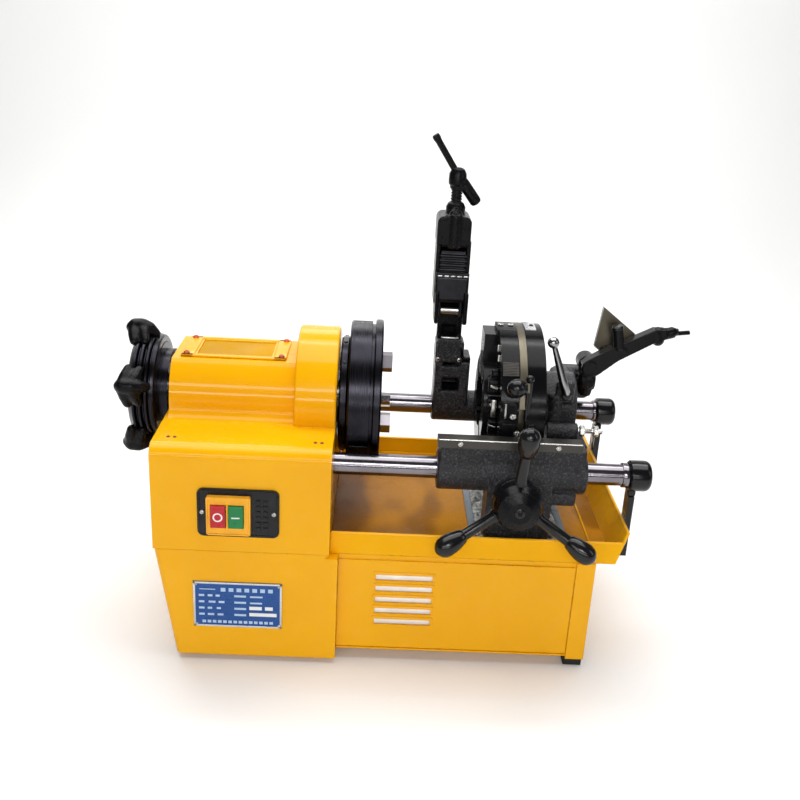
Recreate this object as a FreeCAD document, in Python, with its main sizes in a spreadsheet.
import FreeCAD, Part
import math
import os
import Sketcher

# Electric pipe threading machine, two inch size. Millimetres, +Z up, +X towards the tool end.
# The origin is the centre of the four stand bolt holes, on the plane that the feet rest on.

V = FreeCAD.Vector
Rotation = FreeCAD.Rotation
Placement = FreeCAD.Placement

doc = FreeCAD.newDocument("pipe_threading_machine")
sheet = doc.addObject("Spreadsheet::Sheet", "dims")

DRIVING = {
    "spindle_height": 316,      # spindle axis above the ground
    "spindle_radius": 40,       # outside of the hollow spindle
    "pipe_bore": 31,            # radius of the way through the spindle
    "rod_radius": 14,           # guide rods
    "rod_side": 110,            # each rod's distance from the centre plane
    "rod_height": 262,
    "rod_end": 312,
    "head_left": -297,          # headstock casting
    "head_right": -77,
    "head_front": -170,
    "head_back": 165,
    "head_shoulder": 302,
    "head_taper": 24,           # how far the left wall leans in by the floor
    "head_wall": 6,
    "seam": 162,                # joint between lower and upper housing
    "barrel_radius": 72,
    "barrel_flat": 371.5,
    "arch_left": -131,
    "arch_radius": 90,
    "floor_level": 8,           # underside of the headstock, on its feet
    "cabinet_floor": 16,        # underside of the cabinet, on its taller feet
    "lap_right": -66,           # right edge of the housing's lap over the cabinet
    "cabinet_right": 263,
    "cabinet_front": -155,
    "cabinet_back": 153,
    "sheet_wall": 3,
    "tray_floor": 157,
    "tray_rim": 186,
    "tray_peak": 202,
    "stand_x": 250,             # stand bolts, half spacings
    "stand_y": 145,
    "stand_hole": 4.5,
    "chuck_left": -75,
    "chuck_right": -20.3,
    "chuck_radius": 99,
    "chuck_rim": 101.5,
    "wheel_radius": 72,         # rear centring wheel
    "sleeve_left": 54,          # carriage sleeve on the front rod
    "sleeve_right": 244,
    "sleeve_radius": 27,
    "run_gap": 0.05,            # radial running clearance
    "feed_x": 154,              # feed wheel shaft
    "feed_z": 240,
    "head_plate": 106,          # die head plates
    "die_bore": 36,
    "die_left": 113,
    "die_right": 187,
    "cutter_left": 56,
    "cutter_right": 107,
    "gear_gap": 0.35,           # backlash of every gear pair
}


def value_of(thing):
    return thing.value if isinstance(thing, Size) else float(thing)


def formula_of(thing):
    return thing.formula if isinstance(thing, Size) else f"({float(thing)})"


class Size:
    """A number together with the spreadsheet formula that it comes from."""

    def __init__(self, value, formula):
        self.value = float(value)
        self.formula = formula

    def joined(self, sign, left, right, value):
        return Size(value, f"({formula_of(left)} {sign} {formula_of(right)})")

    def __add__(self, other):
        return self.joined("+", self, other, self.value + value_of(other))

    def __radd__(self, other):
        return self.joined("+", other, self, self.value + value_of(other))

    def __sub__(self, other):
        return self.joined("-", self, other, self.value - value_of(other))

    def __rsub__(self, other):
        return self.joined("-", other, self, value_of(other) - self.value)

    def __mul__(self, other):
        return self.joined("*", self, other, self.value * value_of(other))

    def __rmul__(self, other):
        return self.joined("*", other, self, self.value * value_of(other))

    def __neg__(self):
        return 0 - self


class Sizes:
    """The driving dimensions by name, each bound to its own sheet cell."""


d = Sizes()
for row, (name, number) in enumerate(DRIVING.items(), start=1):
    sheet.set(f"A{row}", name)
    sheet.set(f"B{row}", str(number))
    sheet.setAlias(f"B{row}", name)
    setattr(d, name, Size(number, f"dims.{name}"))
doc.recompute()

nodes = []


def node(label, thing):
    """Make a finished object a sub-part under its own label."""
    thing.Label = label
    nodes.append(thing)
    return thing


def bind(thing, prop, size):
    thing.setExpression(prop, formula_of(size))


def place(thing, **offsets):
    for axis, size in offsets.items():
        bind(thing, f"Placement.Base.{axis}", size)


def box(name, across, deep, tall):
    """A block between two limits on each axis."""
    solid = doc.addObject("Part::Box", name)
    for prop, axis, (low, high) in zip(("Length", "Width", "Height"), "xyz", (across, deep, tall)):
        bind(solid, prop, high - low)
        bind(solid, f"Placement.Base.{axis}", low)
    return solid


TURN = {"x": Rotation(V(0, 1, 0), 90), "y": Rotation(V(1, 0, 0), -90), "z": Rotation()}


def bar(name, axis, span, centre, radius):
    """A round bar along one axis between two limits; centre gives the other two coordinates."""
    solid = doc.addObject("Part::Cylinder", name)
    bind(solid, "Radius", radius)
    bind(solid, "Height", span[1] - span[0])
    solid.Placement = Placement(V(), TURN[axis])
    rest = [a for a in "xyz" if a != axis]
    place(solid, **{axis: span[0], rest[0]: centre[0], rest[1]: centre[1]})
    return solid


def fuse(name, *parts):
    solid = doc.addObject("Part::MultiFuse", name)
    solid.Shapes = list(parts)
    solid.Refine = True
    return solid


def cut(name, base, *tools):
    solid = doc.addObject("Part::Cut", name)
    solid.Base = base
    solid.Tool = tools[0] if len(tools) == 1 else fuse(name + "_tools", *tools)
    solid.Refine = True
    return solid


def group(name, *parts):
    """Separate solids that share one node, such as a set of screws."""
    solid = doc.addObject("Part::Compound", name)
    solid.Links = list(parts)
    return solid


def fillet(name, base, radius, wanted):
    """Round the edges that wanted() picks."""
    doc.recompute()
    edges = [(i, radius, radius) for i, edge in enumerate(base.Shape.Edges, start=1) if wanted(edge)]
    solid = doc.addObject("Part::Fillet", name)
    solid.Base = base
    solid.Edges = edges
    return solid


def edge_box(edge):
    return edge.BoundBox


def sketch_on(body, role, outline):
    """A closed outline on one of the body's origin planes, its corners bound to the sheet."""
    sketch = body.newObject("Sketcher::SketchObject", body.Name + "_sketch")
    plane = [f for f in body.Origin.OriginFeatures if f.Role == role][0]
    sketch.AttachmentSupport = (plane, [""])
    sketch.MapMode = "FlatFace"
    corners = [V(value_of(x), value_of(y), 0) for x, y in outline]
    count = len(corners)
    for i in range(count):
        sketch.addGeometry(Part.LineSegment(corners[i], corners[(i + 1) % count]), False)
    for i in range(count):
        sketch.addConstraint(Sketcher.Constraint("Coincident", i, 2, (i + 1) % count, 1))
    for i, (x, y) in enumerate(outline):
        for kind, size in (("DistanceX", x), ("DistanceY", y)):
            number = sketch.addConstraint(Sketcher.Constraint(kind, -1, 1, i, 1, value_of(size)))
            if isinstance(size, Size):
                sketch.setExpression(f"Constraints[{number}]", size.formula)
    return sketch


def plate(name, plane, outline, span):
    """An outline in the XZ or YZ plane, padded between two limits on the third axis."""
    body = doc.addObject("PartDesign::Body", name)
    pad = body.newObject("PartDesign::Pad", name + "_pad")
    pad.Profile = sketch_on(body, plane + "_Plane", outline)
    bind(pad, "Length", span[1] - span[0])
    if plane == "XZ":
        place(body, y=span[1])
    else:
        place(body, x=span[0])
    return body


def turned(name, profile, centre, axis="x"):
    """A profile of (place along the axis, radius) points revolved about an axis through centre.

    With no centre the caller sets the Placement."""
    body = doc.addObject("PartDesign::Body", name)
    sketch = sketch_on(body, "XY_Plane", profile)
    spin = body.newObject("PartDesign::Revolution", name + "_spin")
    spin.Profile = sketch
    spin.ReferenceAxis = (sketch, ["H_Axis"])
    spin.Angle = 360
    turn = {"x": Rotation(), "y": Rotation(V(0, 0, 1), 90), "z": Rotation(V(0, 1, 0), -90)}[axis]
    body.Placement = Placement(V(), turn)
    if centre:
        place(body, x=centre[0], y=centre[1], z=centre[2])
    return body


def ball(name, centre, radius):
    """A ball turned from straight facets, 15 degrees each."""
    arc = [math.radians(15 * step) for step in range(13)]
    profile = [(-radius * math.cos(t), radius * math.sin(t)) for t in arc]
    profile[0] = (-radius, 0)
    profile[-1] = (radius, 0)
    return turned(name, profile, centre)


def about_axis(angle, height, offset):
    """The placement of something radial, turned about an axis along X at the given height."""
    turn = Rotation(V(1, 0, 0), angle)
    return Placement(V(0, 0, height), turn).multiply(Placement(offset, Rotation()))


def radial_box(name, angle, across, reach, width):
    """A block that points away from the spindle axis; at angle 0 it points along +Y."""
    solid = doc.addObject("Part::Box", name)
    bind(solid, "Length", across[1] - across[0])
    bind(solid, "Width", reach[1] - reach[0])
    bind(solid, "Height", width)
    corner = V(value_of(across[0]), value_of(reach[0]), -value_of(width) / 2)
    solid.Placement = about_axis(angle, d.spindle_height.value, corner)
    return solid


def radial_prism(name, angle, across, outline):
    """An outline of (reach, side) points about the spindle axis, extruded along X."""
    points = [V(value_of(across[0]), reach, side) for reach, side in outline]
    face = Part.Face(Part.makePolygon(points + points[:1]))
    solid = doc.addObject("Part::Feature", name)
    solid.Shape = face.extrude(V(value_of(across[1]) - value_of(across[0]), 0, 0))
    solid.Placement = about_axis(angle, d.spindle_height.value, V())
    return solid


def slanted_bar(name, start, end, radius):
    """A round bar between two points."""
    solid = doc.addObject("Part::Cylinder", name)
    run = V(*end) - V(*start)
    bind(solid, "Radius", radius)
    bind(solid, "Height", run.Length)
    solid.Placement = Placement(V(*start), Rotation(V(0, 0, 1), run))
    return solid


PRESSURE = math.radians(20)
BACKLASH = d.gear_gap.value


def involute(angle):
    return math.tan(angle) - angle


def half_tooth(teeth, module, radius):
    """Half of a tooth's angle at a radius, thinned by the backlash."""
    pitch = teeth * module / 2
    base = pitch * math.cos(PRESSURE)
    here = math.acos(min(1.0, base / max(radius, base)))
    return math.pi / (2 * teeth) - BACKLASH / (2 * pitch) + involute(PRESSURE) - involute(here)


def gear_face(teeth, module, first_angle):
    """The flat outline of a gear about the X axis, one tooth centred on first_angle."""
    pitch = teeth * module / 2
    root = pitch - 1.15 * module
    tip = pitch + 0.8 * module
    base = pitch * math.cos(PRESSURE)
    start = max(root, base)
    radii = [root] + [start + (tip - start) * step / 3 for step in range(4)]
    points = []
    for tooth in range(teeth):
        centre = first_angle + 2 * math.pi * tooth / teeth
        flank = [(radius, half_tooth(teeth, module, radius)) for radius in radii]
        sides = [(radius, centre - half) for radius, half in flank]
        sides += [(radius, centre + half) for radius, half in reversed(flank)]
        for radius, angle in sides:
            point = V(0, radius * math.cos(angle), radius * math.sin(angle))
            if not points or (point - points[-1]).Length > 1e-6:
                points.append(point)
    return Part.Face(Part.makePolygon(points + points[:1]))


def gear(name, teeth, module, span, centre, first_angle, bore=0):
    """A spur gear along X."""
    shape = gear_face(teeth, module, math.radians(first_angle)).extrude(V(span[1] - span[0], 0, 0))
    if bore:
        shape = shape.cut(Part.makeCylinder(bore, span[1] - span[0], V(), V(1, 0, 0)))
    solid = doc.addObject("Part::Feature", name)
    solid.Shape = shape
    solid.Placement = Placement(V(span[0], centre[0], centre[1]), Rotation())
    return solid


def screw(name, axis, face, centre, radius, head):
    """A round screw head that stands on a face; axis is a letter, head the signed height."""
    span = (face, face + head) if head > 0 else (face + head, face)
    return bar(name, axis, span, centre, radius)


SPINDLE = (0, d.spindle_height)
FRONT_ROD = (-d.rod_side, d.rod_height)
REAR_ROD = (d.rod_side, d.rod_height)
FIT = d.rod_radius + d.run_gap
JAW_ANGLES = (90, 210, 330)


# ---------------------------------------------------------------- base and housing

def lower_outline(inset, floor, top):
    left = d.head_left + inset
    right = d.head_right - inset
    return [(left + d.head_taper, floor), (right, floor), (right, top), (left, top)]


shell = plate("lower_shell", "XZ", lower_outline(0, d.floor_level, d.seam), (d.head_front, d.head_back))
rounded = fillet("lower_round", shell, 8, lambda e: edge_box(e).ZLength > 100)
hollow = plate("lower_hollow", "XZ", lower_outline(d.head_wall, d.floor_level + 6, d.seam + 5),
               (d.head_front + d.head_wall, d.head_back - d.head_wall))
LEFT_HOLES = [bar(f"stand_hole_left_{i}", "z", (-1, 20), (-d.stand_x, side), d.stand_hole)
              for i, side in enumerate((-d.stand_y, d.stand_y))]
GLAND = (-240, 60)
gland_hole = bar("gland_hole", "y", (d.head_back - 10, d.head_back + 2), GLAND, 8)
lap = box("lower_lap", (d.head_right - 10, d.lap_right), (d.head_front, d.cabinet_front - 0.3),
          (d.floor_level, d.tray_floor - 0.4))
node("headstock_lower", cut("headstock_lower_cut", fuse("lower_lapped", rounded, lap), hollow, gland_hole,
                            *LEFT_HOLES))

upper_outline = [(d.head_front, d.seam + 0.3), (d.head_back, d.seam + 0.3), (d.head_back, d.head_shoulder),
                 (d.head_front, d.head_shoulder)]
upper_block = plate("upper_block", "YZ", upper_outline, (d.head_left, d.head_right))
upper_round = fillet("upper_round", upper_block, 16,
                     lambda e: edge_box(e).XLength > 200 and edge_box(e).ZMin > 250)
barrel = cut("barrel", bar("barrel_bar", "x", (d.head_left + 5, d.arch_left + 5), SPINDLE, d.barrel_radius),
             box("barrel_above", (d.head_left, d.arch_left + 10), (-80, 80),
                  (d.barrel_flat, d.barrel_flat + 40)))
arch = fillet("arch", bar("arch_bar", "x", (d.arch_left, d.head_right), SPINDLE, d.arch_radius), 3,
              lambda e: edge_box(e).XLength < 1)
outside = fuse("upper_outside", upper_round, barrel, arch)
foot_of_barrel = fillet("barrel_foot", outside, 14,
                        lambda e: edge_box(e).XLength > 100 and abs(edge_box(e).ZMin - 302) < 1
                        and abs(edge_box(e).YMin) < 80)
box_hollow = box("box_hollow", (d.head_left + d.head_wall, d.head_right - d.head_wall),
                 (d.head_front + d.head_wall, d.head_back - d.head_wall),
                 (d.seam - 5, d.head_shoulder - d.head_wall))
barrel_hollow = cut("barrel_hollow",
                    bar("barrel_inner", "x", (d.head_left + 11, d.arch_left + 7), SPINDLE,
                        d.barrel_radius - d.head_wall),
                    box("barrel_roof", (d.head_left, d.arch_left + 10), (-80, 80),
                        (d.barrel_flat - d.head_wall, d.barrel_flat + 40)))
arch_hollow = bar("arch_hollow", "x", (d.arch_left + d.head_wall, d.head_right - d.head_wall), SPINDLE,
                  d.arch_radius - d.head_wall)
empty = cut("upper_empty", foot_of_barrel, box_hollow, barrel_hollow, arch_hollow)
IDLER = (0, 229)
BUSH_RADIUS = 48
bosses = [
    bar("boss_left", "x", (d.head_left + 5.5, -268), SPINDLE, 55),
    bar("boss_right", "x", (-100, d.head_right - 1), SPINDLE, 56),
    bar("boss_rod_front", "x", (-102, d.head_right - 1), FRONT_ROD, 22),
    bar("boss_rod_rear", "x", (-102, d.head_right - 1), REAR_ROD, 22),
    bar("boss_idler", "x", (-97, d.head_right - 1), IDLER, 16),
]
bores = [
    bar("bore_left", "x", (d.head_left - 5, -260), SPINDLE, BUSH_RADIUS),
    bar("bore_right", "x", (-110, d.head_right + 5), SPINDLE, BUSH_RADIUS),
    bar("bore_rod_front", "x", (-99, d.head_right + 5), FRONT_ROD, d.rod_radius + 0.02),
    bar("bore_rod_rear", "x", (-99, d.head_right + 5), REAR_ROD, d.rod_radius + 0.02),
    bar("bore_idler", "x", (-110, -84), IDLER, 8 + d.run_gap),
]
node("headstock_upper", cut("headstock_upper_cut", fuse("upper_bossed", empty, *bosses), *bores))

cabinet_box = box("cabinet_box", (d.head_right + 0.5, d.cabinet_right), (d.cabinet_front, d.cabinet_back),
                  (d.cabinet_floor, d.tray_floor - 0.3))
cabinet_strip = box("cabinet_strip", (d.cabinet_right - 24, d.cabinet_right),
                    (d.cabinet_front - 3, d.cabinet_front + 1), (12, d.tray_floor - 0.3))
cabinet_hollow = box("cabinet_hollow", (d.head_right + 3.5, d.cabinet_right - d.sheet_wall),
                     (d.cabinet_front + d.sheet_wall, d.cabinet_back - d.sheet_wall),
                     (d.cabinet_floor + d.sheet_wall, d.tray_floor + 5))
cabinet_window = box("cabinet_window", (-58, 228), (d.cabinet_front - 5, d.cabinet_front + 10), (30, 140))
RIGHT_HOLES = [bar(f"stand_hole_right_{i}", "z", (-1, 25), (d.stand_x, side), d.stand_hole)
               for i, side in enumerate((-d.stand_y, d.stand_y))]
node("base_cabinet", cut("base_cabinet_cut", fuse("cabinet_outside", cabinet_box, cabinet_strip),
                         cabinet_hollow, cabinet_window, *RIGHT_HOLES))

PANEL_FRONT = d.cabinet_front - 2
panel_plate = box("panel_plate", (d.lap_right + 0.5, 238), (PANEL_FRONT, d.cabinet_front), (20, 150))
SLOTS = 5
SLOT_PITCH = 16.5
louvres = [box(f"louvre_{i}", (-17, 56), (d.cabinet_front - 5, d.cabinet_front + 5),
               (55 + SLOT_PITCH * i, 63 + SLOT_PITCH * i)) for i in range(SLOTS)]
node("front_panel", cut("front_panel_cut", panel_plate, *louvres))

pads = []
PAD_TOPS = ((-d.stand_x, d.floor_level), (d.stand_x, d.cabinet_floor))
for i, (x, y, top) in enumerate([(x, y, top) for x, top in PAD_TOPS for y in (-d.stand_y, d.stand_y)]):
    pad = box(f"pad_{i}", (x - 12, x + 12), (y - 8.5, y + 8.5), (0, top))
    hole = bar(f"pad_hole_{i}", "z", (-1, 25), (x, y), d.stand_hole)
    pads.append(cut(f"foot_{i}", pad, hole))
node("foot_pads", group("foot_pad_set", *pads))

floor_top = d.tray_floor + d.sheet_wall
LIP_FOOT = 288
LIP_TOP = 301
LIP_AT_RIM = 296.4
LIP_THICKNESS = 3.1
tray_profile = [(d.head_right + 0.3, d.tray_floor), (LIP_FOOT, d.tray_floor), (LIP_TOP, d.tray_peak),
                (LIP_TOP - LIP_THICKNESS, d.tray_peak), (285.8, floor_top), (d.head_right + 0.3, floor_top)]
tray_sheet = plate("tray_sheet", "XZ", tray_profile, (d.cabinet_front, d.cabinet_back))
wall_profile = [(d.head_right + 0.3, d.tray_floor), (LIP_FOOT, d.tray_floor), (LIP_AT_RIM, d.tray_rim),
                (d.head_right + 0.3, d.tray_rim)]
tray_walls = [plate(f"tray_wall_{i}", "XZ", wall_profile, span) for i, span in enumerate((
    (d.cabinet_front, d.cabinet_front + d.sheet_wall), (d.cabinet_back - d.sheet_wall, d.cabinet_back)))]
node("chip_tray", fuse("chip_tray_fuse", tray_sheet, *tray_walls))

FILTER_TOP = floor_top + 2.8
filter_plate = box("filter_plate", (104, 232), (d.cabinet_front + 4, d.cabinet_back - 4),
                   (floor_top + 0.3, FILTER_TOP))
filter_holes = [bar(f"filter_hole_{i}_{k}", "z", (floor_top - 1, FILTER_TOP + 1),
                    (118 + 20 * i, -120 + 40 * k), 4)
                for i in range(6) for k in range(7)]
node("chip_filter", cut("chip_filter_cut", filter_plate, *filter_holes))

cover_left = d.head_left - 2.5
node("side_cover", box("side_cover_box", (cover_left, d.head_left), (-150, 145), (168, 250)))
node("barrel_cover", fillet("barrel_cover_round",
                            box("barrel_cover_box", (-282, -145.5), (-40, 40),
                                (d.barrel_flat, d.barrel_flat + 3)), 6,
                            lambda e: edge_box(e).ZLength > 2.5))

# ---------------------------------------------------------------- controls and plates

plate_front = d.head_front - 3
SWITCH_MIDDLE = 216
switch_block = fillet("switch_block",
                      box("switch_box", (-240, -139.5), (plate_front, d.head_front), (185, 250)), 8,
                      lambda e: edge_box(e).YLength > 2.5)
BUTTON_LEFTS = (-222.6, -200.8)
BUTTON_SIZE = (18.4, 30)
windows = [box(f"button_window_{i}", (left - 0.5, left + BUTTON_SIZE[0] + 0.5), (-185, -172.5),
               (SWITCH_MIDDLE - 15.5, SWITCH_MIDDLE + 15.5)) for i, left in enumerate(BUTTON_LEFTS)]
node("switch_plate", switch_block)
frame_block = fillet("frame_block",
                     box("frame_box", (-228, -174), (d.head_front - 9, plate_front), (190, 242)), 3,
                     lambda e: edge_box(e).YLength > 5)
node("switch_frame", cut("switch_frame_cut", frame_block, *windows))
for label, left in zip(("stop_button", "start_button"), BUTTON_LEFTS):
    cap = box(label + "_cap", (left, left + BUTTON_SIZE[0]), (d.head_front - 12.5, plate_front - 3.2),
              (SWITCH_MIDDLE - 15, SWITCH_MIDDLE + 15))
    node(label, fillet(label + "_round", cap, 1.5, lambda e: edge_box(e).YMax < -182.4))

node("name_plate", box("name_plate_box", (-248, -135.5), (d.head_front - 1.5, d.head_front), (52, 118)))
screws = []
for i, (x, z) in enumerate([(x, z) for x in (-244.5, -139) for z in (55.5, 114.5)]):
    screws.append(screw(f"plate_rivet_{i}", "y", d.head_front - 1.5, (x, z), 2.2, -1.4))
for i, x in enumerate((-234, -146)):
    screws.append(screw(f"switch_screw_{i}", "y", plate_front, (x, 218), 3, -1.6))
for i, (x, y) in enumerate([(x, y) for x in (-275, -152) for y in (-33, 33)]):
    screws.append(screw(f"cover_screw_{i}", "z", d.barrel_flat + 3, (x, y), 4, 3))
for i, x in enumerate((-279, -271, -99, -91)):
    screws.append(screw(f"shoulder_screw_{i}", "z", d.head_shoulder, (x, -140), 2.2, 1.2))
for i, (y, z) in enumerate([(y, z) for y in (-140, 135) for z in (176, 242)]):
    screws.append(screw(f"side_screw_{i}", "x", cover_left, (y, z), 4, -2.5))
node("case_screws", group("case_screw_set", *screws))

gland_profile = [(-9, 4.5), (15, 4.5), (15, 7), (12, 10), (4, 10), (4, 13), (0, 13), (0, 7.9), (-9, 7.9)]
node("cable_gland", turned("cable_gland_body", gland_profile, (GLAND[0], d.head_back, GLAND[1]), "y"))

# ---------------------------------------------------------------- guide rods

RACK_MODULE = 1.5
FEED_TEETH = 12
FEED_PITCH = RACK_MODULE * FEED_TEETH / 2
rack_pitch = math.pi * RACK_MODULE


def rack_comb():
    """The notches of the rack under the front rod, one of them centred on the feed shaft."""
    line = d.feed_z.value + FEED_PITCH
    low = line - 3
    high = line + 1.8
    half = rack_pitch / 4 + BACKLASH / 2
    slope = math.tan(PRESSURE)
    notches = []
    for step in range(-17, 15):
        middle = d.feed_x.value + step * rack_pitch
        corners = [(middle - half - slope * 3, low), (middle + half + slope * 3, low),
                   (middle + half - slope * 1.8, high), (middle - half + slope * 1.8, high)]
        points = [V(x, -d.rod_side.value - 20, z) for x, z in corners]
        notches.append(Part.Face(Part.makePolygon(points + points[:1])).extrude(V(0, 40, 0)))
    return Part.makeCompound(notches)


comb = doc.addObject("Part::Feature", "rack_notches")
comb.Shape = rack_comb()
front_bar = bar("front_rod_bar", "x", (-98, d.rod_end), FRONT_ROD, d.rod_radius)
node("guide_rod_front", cut("front_rod_cut", front_bar, comb))
node("guide_rod_rear", bar("rear_rod_bar", "x", (-98, d.rod_end), REAR_ROD, d.rod_radius))

CAP_LEFT = 297.5
cap_profile = [(CAP_LEFT, 14.02), (CAP_LEFT, 18.5), (CAP_LEFT + 2, 20), (324, 20), (327.5, 17.5), (328.6, 14),
               (328.6, 0), (312.05, 0), (312.05, 14.02)]
brackets = []
caps = []
for side, (y, centre) in {"front": (-d.rod_side, FRONT_ROD), "rear": (d.rod_side, REAR_ROD)}.items():
    cap = turned(f"cap_{side}", cap_profile, (0, y, d.rod_height))
    lug = box(f"lug_{side}", (301.5, 311.5), (y - 9, y + 9), (d.rod_height - 26, d.rod_height - 17))
    caps.append(fuse(f"rod_cap_{side}", cap, lug))
    half = 10 if side == "front" else 14
    post = box(f"post_{side}", (302.3, 310.3), (y - half, y + half), (150, d.rod_height - 26.1))
    spacer = bar(f"spacer_{side}", "x", (294, 303), (y, 170), 6)
    brackets.append(fuse(f"bracket_{side}", post, spacer))
node("rod_end_caps", group("rod_cap_set", *caps))
node("rod_brackets", group("bracket_set", *brackets))

# ---------------------------------------------------------------- spindle and drive

bushes = [turned(f"bush_{i}", [(low, d.spindle_radius + d.run_gap), (high, d.spindle_radius + d.run_gap),
                               (high, BUSH_RADIUS - 0.03), (low, BUSH_RADIUS - 0.03)], (0, 0, d.spindle_height))
          for i, (low, high) in enumerate(((-296, -269), (-100, -78)))]
node("spindle_bushes", group("bush_set", *bushes))

tube_profile = [(-318, d.pipe_bore), (-50, d.pipe_bore), (-50, d.spindle_radius), (-318, d.spindle_radius)]
node("spindle", turned("spindle_tube", tube_profile, (0, 0, d.spindle_height)))
node("spindle_gear", gear("spindle_gear_solid", 72, 2, (-125, -103), (0, 316), -90, 40.03))

IDLER_GEAR_TEETH = 54
PINION_TEETH = 15
idler_pinion = gear("idler_pinion", PINION_TEETH, 2, (-125, -103), IDLER, 90 + 180 / PINION_TEETH)
idler_wheel = gear("idler_wheel", IDLER_GEAR_TEETH, 1.5, (-150, -132), IDLER, -90)
idler_bar = bar("idler_bar", "x", (-157.5, -84.5), IDLER, 8)
node("idler_gears", fuse("idler_fuse", idler_bar, idler_pinion, idler_wheel))
MOTOR = (0, IDLER[1] - 1.5 * (IDLER_GEAR_TEETH + 12) / 2)
motor_pinion = gear("motor_pinion", 12, 1.5, (-150, -132), MOTOR, 90 + 180 / 12)
node("motor_shaft", fuse("motor_shaft_fuse", bar("motor_shaft_bar", "x", (-176, -131), MOTOR, 6),
                         motor_pinion))
motor_can = fillet("motor_can", bar("motor_can_bar", "x", (-278, -158), MOTOR, 52), 6,
                   lambda e: edge_box(e).XMax < -277)
motor_solid = fuse("motor_solid", motor_can, box("motor_foot", (-262, -182), (-40, 40), (14.1, 140)),
                   box("motor_plate", (-158.5, -152), (-50, 50), (122, 250)))
node("motor", cut("motor_cut", motor_solid, bar("motor_shaft_hole", "x", (-177, -150), MOTOR, 6 + d.run_gap),
                  bar("idler_hole", "x", (-158, -150), IDLER, 8 + d.run_gap)))
node("oil_pump", fuse("oil_pump_fuse", bar("pump_body", "x", (-142, -98), (95, 66), 27),
                      box("pump_foot", (-136, -104), (75, 115), (14.1, 50)),
                      bar("pump_outlet", "z", (90, 112), (-120, 95), 6)))

# ---------------------------------------------------------------- hammer chuck

RING_BORE = 60.4
core_profile = [(-75, 40.03), (-75, 75), (-73, 77), (-66, 77), (-64.2, 75), (-64.2, 60), (-22, 60),
                (-22, 32.5),
                (-49.5, 32.5), (-49.5, 40.03)]
core = turned("chuck_core", core_profile, (0, 0, d.spindle_height))
chuck_slots = [radial_box(f"chuck_slot_{i}", angle, (-40.5, -20), (30, 59.5), 16.8)
               for i, angle in enumerate(JAW_ANGLES)]
node("chuck_body", cut("chuck_body_cut", core, *chuck_slots))
ring_profile = [(-63.4, RING_BORE), (-63.4, 97), (-61.4, d.chuck_radius), (-35, d.chuck_radius),
                (-35, 95), (-31, 95),
                (-31, d.chuck_rim - 2), (-29.5, d.chuck_rim), (-22.3, d.chuck_rim), (d.chuck_right, 99.5),
                (d.chuck_right, RING_BORE)]
node("chuck_ring", turned("chuck_ring_body", ring_profile, (0, 0, d.spindle_height)))
jaw_outline = [(34, -4), (41, -8), (58.5, -8), (58.5, 8), (41, 8), (34, 4)]
for i, angle in enumerate(JAW_ANGLES, start=1):
    node(f"chuck_jaw_{i}", radial_prism(f"chuck_jaw_solid_{i}", angle, (-40.1, -7), jaw_outline))

# ---------------------------------------------------------------- rear centring chuck

rear_profile = [(-299.2, 40.03), (-299.2, 50), (-311.5, 50), (-311.5, 58), (-341, 58), (-341, 32.5),
                (-318.5, 32.5),
                (-318.5, 40.03)]
rear_core = turned("rear_core", rear_profile, (0, 0, d.spindle_height))
rear_slots = [radial_box(f"rear_slot_{i}", angle, (-341.5, -324.5), (30, 57.5), 13.8)
              for i, angle in enumerate(JAW_ANGLES)]
node("rear_chuck_body", cut("rear_chuck_cut", rear_core, *rear_slots))
wheel_rim = d.wheel_radius
wheel_profile = [(-312, 58.4), (-312, wheel_rim - 4), (-314, wheel_rim - 2), (-319, wheel_rim - 2),
                 (-319, wheel_rim - 5), (-322, wheel_rim - 5), (-322, wheel_rim), (-328, wheel_rim),
                 (-328, wheel_rim - 3), (-331, wheel_rim - 3), (-331, wheel_rim), (-340, wheel_rim), (-349, 64),
                 (-349, 36), (-342, 36), (-342, 58.4)]
wheel_disc = turned("wheel_disc", wheel_profile, (0, 0, d.spindle_height))
LOBE_ANGLES = (18, 90, 162, 234, 306)
lobe_outline = [(62, -23), (76, -18), (86, -11), (91.5, -5), (93, 0), (91.5, 5), (86, 11), (76, 18), (62, 23)]
lobes = [radial_prism(f"lobe_{i}", angle, (-361, -327), lobe_outline) for i, angle in enumerate(LOBE_ANGLES)]
node("rear_wheel", fuse("rear_wheel_fuse", wheel_disc, *lobes))
rear_jaw_outline = [(34, -3), (40, -6.5), (56.5, -6.5), (56.5, 6.5), (40, 6.5), (34, 3)]
for i, angle in enumerate(JAW_ANGLES, start=1):
    node(f"rear_jaw_{i}", radial_prism(f"rear_jaw_solid_{i}", angle, (-340.7, -325), rear_jaw_outline))

# ---------------------------------------------------------------- carriage

sleeve = fillet("sleeve",
                bar("sleeve_bar", "x", (d.sleeve_left, d.sleeve_right), FRONT_ROD, d.sleeve_radius), 3,
                lambda e: edge_box(e).XLength < 1)
ridge = box("ridge", (56, 240), (-131, -103.2), (d.rod_height, 300.7))
apron = fillet("apron", box("apron_box", (118, 201), (-137, -96), (173, d.rod_height)), 8,
               lambda e: edge_box(e).YLength > 30 and edge_box(e).ZMax < 180)
apron_boss = bar("apron_boss", "y", (-142, -130), (d.feed_x, d.feed_z), 28)
flange = box("carriage_flange", (200, 240), (-104, -82.9), (238, 288))
front_solid = fuse("carriage_front_solid", sleeve, ridge, apron, apron_boss, flange)
node("carriage_front", cut("carriage_front_cut", front_solid,
                           bar("sleeve_bore", "x", (50, 250), FRONT_ROD, FIT),
                           bar("pinion_pocket", "y", (-119.5, -100.5), (d.feed_x, d.feed_z), 11.3),
                           bar("feed_bore", "y", (-145, -118), (d.feed_x, d.feed_z), 8 + d.run_gap)))
HINGE = (75, 326)
LEVER_AXIS = (221, 347)
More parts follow.
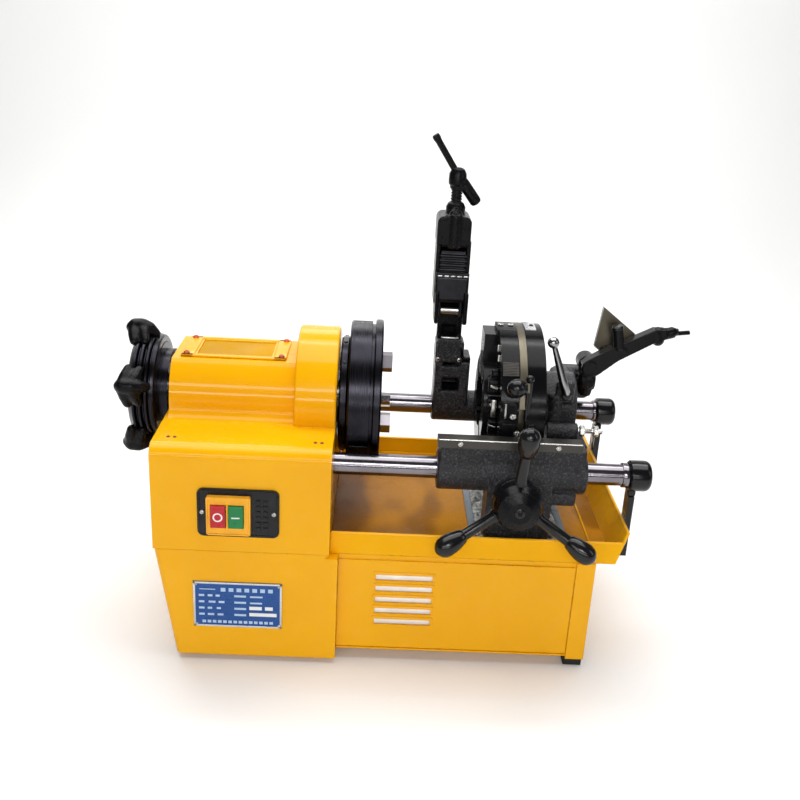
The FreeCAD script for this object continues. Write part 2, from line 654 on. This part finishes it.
bridge_solid = fuse("bridge_solid",
                    box("bridge_deck", (198, 250), (-82.8, 95), (238, 288)),
                    box("bridge_wall", (198, 240), (-42, 60), (262, 316)),
                    bar("bridge_ring", "x", (197, 240), SPINDLE, 42),
                    bar("bridge_sleeve", "x", (196, 250), REAR_ROD, 24),
                    bar("bridge_boss", "x", (198, 239), (-60, 298), 12),
                    bar("bridge_lug", "x", (226, 255), HINGE, 16),
                    box("bridge_web", (226, 255), (60, 88), (270, 326)),
                    bar("lever_boss", "y", (-46, -20), LEVER_AXIS, 9))
node("carriage_bridge", cut("carriage_bridge_cut", bridge_solid,
                            bar("bridge_bore", "x", (190, 270), SPINDLE, 34),
                            bar("bridge_rod_bore", "x", (190, 280), REAR_ROD, FIT),
                            bar("hinge_bore", "x", (220, 262), HINGE, 7 + d.run_gap),
                            bar("lever_bore", "y", (-48, -30), LEVER_AXIS, 4 + d.run_gap)))
node("carriage_strip", box("strip_box", (52, 233), (-135.5, -117), (301, 312)))
bolts = [screw(f"strip_screw_{i}", "y", -135.5, (x, 306.5), 3.2, -1.5) for i, x in enumerate((80, 202))]
STOP_LINE = (-60, 300)
bolts.append(fuse("stop_bolt", bar("stop_stud", "x", (239.2, 272), STOP_LINE, 3.5),
                  bar("stop_nut", "x", (242, 249), STOP_LINE, 7),
                  bar("stop_head", "x", (260, 266), STOP_LINE, 7)))
node("carriage_bolts", group("carriage_bolt_set", *bolts))

spring_profile = [(126, 14.4), (147.5, 14.4), (147.5, 16.1), (126, 16.1)]
node("cutter_spring", turned("spring_body", spring_profile, (0, d.rod_side, d.rod_height)))

# feed wheel: pinion, shaft and hub, with three handles
FEED = (d.feed_x, d.feed_z)
pinion_face = gear_face(FEED_TEETH, RACK_MODULE, math.radians(90))
feed_gear = doc.addObject("Part::Feature", "feed_gear")
feed_gear.Shape = pinion_face.extrude(V(16, 0, 0))
feed_gear.Placement = Placement(V(d.feed_x.value, -118, d.feed_z.value), Rotation(V(0, 0, 1), 90))
feed_shaft = bar("feed_shaft", "y", (-150, -103), FEED, 8)
hub_profile = [(-145, 0), (-145, 28), (-149, 31), (-170, 31), (-181, 26), (-187, 14), (-187, 0)]
feed_hub = turned("feed_hub_body", hub_profile, (d.feed_x, 0, d.feed_z), "y")
node("feed_hub", fuse("feed_hub_fuse", feed_shaft, feed_gear, feed_hub))
handles = []
HANDLE_LEAN = math.radians(18)
for i, angle in enumerate((89, 209, 329)):
    out = V(math.cos(math.radians(angle)), 0, math.sin(math.radians(angle)))
    aim = out * math.cos(HANDLE_LEAN) + V(0, -1, 0) * math.sin(HANDLE_LEAN)
    root = V(d.feed_x.value, -165, d.feed_z.value) + out * 32.4
    shaft = slanted_bar(f"handle_shaft_{i}", root, root + aim * 54, 7)
    knob = turned(f"handle_knob_{i}", [(48, 0), (48, 7.5), (54, 11), (64, 13.2), (76, 13), (83, 9.5), (86.5, 4),
                                       (86.8, 0)], None)
    knob.Placement = Placement(root, Rotation(V(1, 0, 0), aim))
    handles.append(fuse(f"handle_{i}", shaft, knob))
node("feed_handles", group("feed_handle_set", *handles))

# ---------------------------------------------------------------- die head

PLATES = d.head_plate
PLATE_LEFT = 130
CAM_SPAN = (153.2, 163.4)
left_plate = cut("left_plate", bar("left_plate_disc", "x", (PLATE_LEFT, CAM_SPAN[0]), SPINDLE, PLATES),
                 box("left_plate_flat", (PLATE_LEFT - 1, CAM_SPAN[0] + 1), (36, 112), (200, 430)))
right_plate = bar("right_plate", "x", (CAM_SPAN[1], d.die_right), SPINDLE, PLATES)
middle = bar("die_middle", "x", (CAM_SPAN[0] - 4, d.die_right), SPINDLE, 70)
face_disc = bar("face_disc", "x", (d.die_left, PLATE_LEFT + 1), SPINDLE, 62)
top_block = radial_box("top_block", 90, (112, PLATE_LEFT + 1), (55, 98.5), 40)
web = cut("die_web", box("web_box", (149, d.die_right), (60, 112), (250, 300)),
          bar("web_clear", "x", CAM_SPAN, SPINDLE, 93))
hub = bar("die_hub", "x", (149, 194), REAR_ROD, 22)
die_solid = fuse("die_solid", left_plate, right_plate, middle, face_disc, top_block, web, hub)
CHASER_ANGLES = (45, 135, 225, 315)
die_slots = [radial_box(f"die_slot_{i}", angle, (d.die_left - 2, 123.5), (30, 60), 12.8)
             for i, angle in enumerate(CHASER_ANGLES)]
node("die_head_body", cut("die_head_cut", die_solid,
                          bar("die_bore_tool", "x", (100, 200), SPINDLE, d.die_bore),
                          bar("die_rod_bore", "x", (140, 200), REAR_ROD, FIT),
                          bar("die_sleeve_room", "x", (100, 200), FRONT_ROD, d.sleeve_radius + 2),
                          box("die_ridge_room", (100, 200), (-140, -101), (200, 303)),
                          *die_slots))
cam_disc = bar("cam_disc", "x", (153.6, 163), SPINDLE, 92)
cam_rim = cut("cam_rim", bar("cam_rim_bar", "x", (153.6, 163), SPINDLE, PLATES),
              box("cam_below", (150, 180), (-120, 120), (200, 343)))
CAM_ANGLE = 152
KNOB_X = 147
KNOB_REACH = 121.5
KNOB_Y = KNOB_REACH * math.cos(math.radians(CAM_ANGLE))
KNOB_Z = d.spindle_height.value + KNOB_REACH * math.sin(math.radians(CAM_ANGLE))
cam_arm = radial_box("cam_arm", CAM_ANGLE, (153.8, 162.8), (85, 126), 12)
cam_stub = bar("cam_stub", "x", (KNOB_X, 158), (KNOB_Y, KNOB_Z), 5)
cam_knob = ball("cam_knob", (KNOB_X, KNOB_Y, KNOB_Z), 12)
cam_solid = fuse("cam_solid", cam_disc, cam_rim, cam_arm, cam_stub, cam_knob)
node("cam_ring", cut("cam_ring_cut", cam_solid, bar("cam_bore", "x", (150, 180), SPINDLE, 70.4)))
chaser_outline = [(33, -3), (38, -6), (57, -6), (57, 6), (38, 6), (33, 3)]
for i, angle in enumerate(CHASER_ANGLES, start=1):
    node(f"chaser_{i}", radial_prism(f"chaser_solid_{i}", angle, (114, 123.2), chaser_outline))

LEVER_FOOT = (LEVER_AXIS[0], -52, LEVER_AXIS[1])
LEVER_BALL = (196.5, -52, 417)
lever_pin = bar("lever_pin", "y", (-50, -31), LEVER_AXIS, 4)
lever_eye = bar("lever_eye", "y", (-57, -46.5), LEVER_AXIS, 7)
lever_rod = slanted_bar("lever_rod", LEVER_FOOT, LEVER_BALL, 4)
lever_head = ball("lever_ball", LEVER_BALL, 7.5)
node("die_lever", fuse("die_lever_fuse", lever_pin, lever_eye, lever_rod, lever_head))

# ---------------------------------------------------------------- pipe cutter, stored upright

SCREW_AXIS = (71.5, 112)
hub_tube = bar("cutter_hub", "x", (55.6, 124.5), REAR_ROD, 20)
foot_block = box("cutter_foot", (d.cutter_left, d.cutter_right), (92, 132), (d.rod_height, 343))
spine = box("cutter_spine", (58, 94), (126, 142), (300, 530))
cheeks = [box(f"cheek_{i}", span, (92, 130), (340, 362)) for i, span in enumerate(((58, 66), (84, 94)))]
crown = fillet("cutter_crown", box("crown_box", (47, 94), (90, 142), (505, 545)), 9,
               lambda e: edge_box(e).YLength > 40 and edge_box(e).ZMin > 540)
crown_boss = bar("crown_boss", "z", (530, 556), SCREW_AXIS, 13.5)
rails = [box(f"rail_{i}", span, (98, 128), (420, 510)) for i, span in enumerate(((48, 54), (90, 96)))]
tie = box("cutter_tie", (48, 96), (128, 142), (420, 510))
cutter_solid = fuse("cutter_solid", hub_tube, foot_block, spine, *cheeks, crown, crown_boss, *rails, tie)
WHEEL_AXIS = (112, 350)
node("cutter_frame", cut("cutter_frame_cut", cutter_solid,
                         bar("cutter_rod_bore", "x", (50, 130), REAR_ROD, FIT),
                         box("cutter_window", (68, 92), (80, 150), (292, 312)),
                         bar("wheel_pin_bore", "x", (57, 99), WHEEL_AXIS, 4 + d.run_gap),
                         box("wheel_room", (66, 84), (85, 130), (331, 380)),
                         bar("screw_bore", "z", (490, 580), SCREW_AXIS, 8 + d.run_gap)))
wheel_cut_profile = [(58.5, 0), (94, 0), (94, 4), (81.5, 4), (81.5, 8), (77, 8), (75, 17), (73, 8), (68.5, 8),
                     (68.5, 4), (58.5, 4)]
node("cutter_wheel", turned("cutter_wheel_body", wheel_cut_profile, (0, WHEEL_AXIS[0], WHEEL_AXIS[1])))
slide_body = box("slide_body", (54.6, 89.4), (96, 125.6), (424, 496))
slide_lips = box("slide_lips", (49, 96), (92, 97.5), (424, 466))
slide_arms = [box(f"slide_arm_{i}", span, (94, 125.6), (402, 430))
              for i, span in enumerate(((54.6, 59), (85, 89.4)))]
roller_room = box("roller_room", (59, 85), (90, 126), (400, 424))
ROLLERS = {"front": (102, 410), "rear": (117.5, 410)}
roller_bores = [bar(f"roller_bore_{k}", "x", (45, 100), at, 3 + d.run_gap) for k, at in ROLLERS.items()]
node("cutter_slide", cut("cutter_slide_cut", fuse("slide_solid", slide_body, slide_lips, *slide_arms),
                         roller_room,
                         *roller_bores))
for key, at in ROLLERS.items():
    roller = fuse(f"roller_fuse_{key}", bar(f"roller_{key}", "x", (59.5, 84.5), at, 7),
                  bar(f"roller_pin_{key}", "x", (55, 89), at, 3))
    node(f"cutter_roller_{key}", roller)
thread = bar("screw_thread", "z", (496.3, 596), SCREW_AXIS, 8)
collar = bar("screw_collar", "z", (584, 608), SCREW_AXIS, 12)
tee = slanted_bar("screw_tee", (37, 112, 650), (100, 112, 561), 6)
node("cutter_screw", fuse("cutter_screw_fuse", thread, collar, tee))

# ---------------------------------------------------------------- reamer, stored swung up

hinge_pin = bar("hinge_pin", "x", (226, 264), HINGE, 7)
arm_hub = bar("arm_hub", "x", (262.5, 284), HINGE, 16)
arm_post = box("arm_post", (262.5, 282), (62, 88), (326, 352))
ELBOW = (270, 351)
arm_head = bar("arm_head", "y", (62, 88), ELBOW, 13)
node("reamer_arm", cut("reamer_arm_cut", fuse("reamer_arm_solid", hinge_pin, arm_hub, arm_post, arm_head),
                       bar("elbow_bore", "y", (60, 90), ELBOW, 6 + d.run_gap)))
LEVER_SLOPE = math.radians(17)
along = V(math.cos(LEVER_SLOPE), 0, math.sin(LEVER_SLOPE))
across_lever = V(-math.sin(LEVER_SLOPE), 0, math.cos(LEVER_SLOPE))
origin = V(ELBOW[0], 0, ELBOW[1])


def lever_plate(name, outline, front, back):
    """An outline of (along the lever, across it) points, extruded from front to back."""
    points = [origin + along * u + across_lever * v + V(0, front, 0) for u, v in outline]
    solid = doc.addObject("Part::Feature", name)
    solid.Shape = Part.Face(Part.makePolygon(points + points[:1])).extrude(V(0, back - front, 0))
    return solid


lever_outline = [(-12, -8), (-6, -13), (8, -13), (40, 1), (96, 15), (112, 16), (112, 29), (98, 33), (66, 27),
                 (30, 21), (0, 13), (-9, 9)]
lever_body = lever_plate("lever_body", lever_outline, 44, 61.5)
elbow_pin = bar("elbow_pin", "y", (50, 90), ELBOW, 6)
bulb_start = origin + along * 111 + across_lever * 21 + V(0, 53, 0)
bulb = slanted_bar("lever_bulb", bulb_start, bulb_start + along * 12, 8)
handle = slanted_bar("lever_handle", bulb_start, bulb_start + V(34, 0, 4), 3.2)
boss = slanted_bar("blade_boss", origin + along * 28 + across_lever * 14 + V(0, 61, 0),
                   origin + along * 28 + across_lever * 14 + V(0, 64.2, 0), 8)
node("reamer_lever", fuse("reamer_lever_fuse", lever_body, elbow_pin, bulb, handle, boss))
node("reamer_blade", lever_plate("reamer_blade_plate", [(14, 25), (28, 6), (73, 27), (37, 77)], 64.3, 69))

# ---------------------------------------------------------------- checks and export

doc.recompute()
for thing in doc.Objects:
    if "Invalid" in thing.State or "Error" in thing.State:
        raise RuntimeError(f"{thing.Label} failed: {thing.State}")
for thing in nodes:
    if thing.Shape.isNull() or not thing.Shape.isValid():
        raise RuntimeError(f"{thing.Label} has no valid shape")

os.makedirs("parts", exist_ok=True)
for thing in nodes:
    thing.Shape.exportStep(f"parts/{thing.Label}.step")
    size = thing.Shape.BoundBox
    print(f"{thing.Label:22s} solids {len(thing.Shape.Solids)}  volume {thing.Shape.Volume:12.1f}"
          f"  X {size.XMin:7.1f} {size.XMax:7.1f}  Y {size.YMin:7.1f} {size.YMax:7.1f}"
          f"  Z {size.ZMin:7.1f} {size.ZMax:7.1f}")
print("nodes", len(nodes))
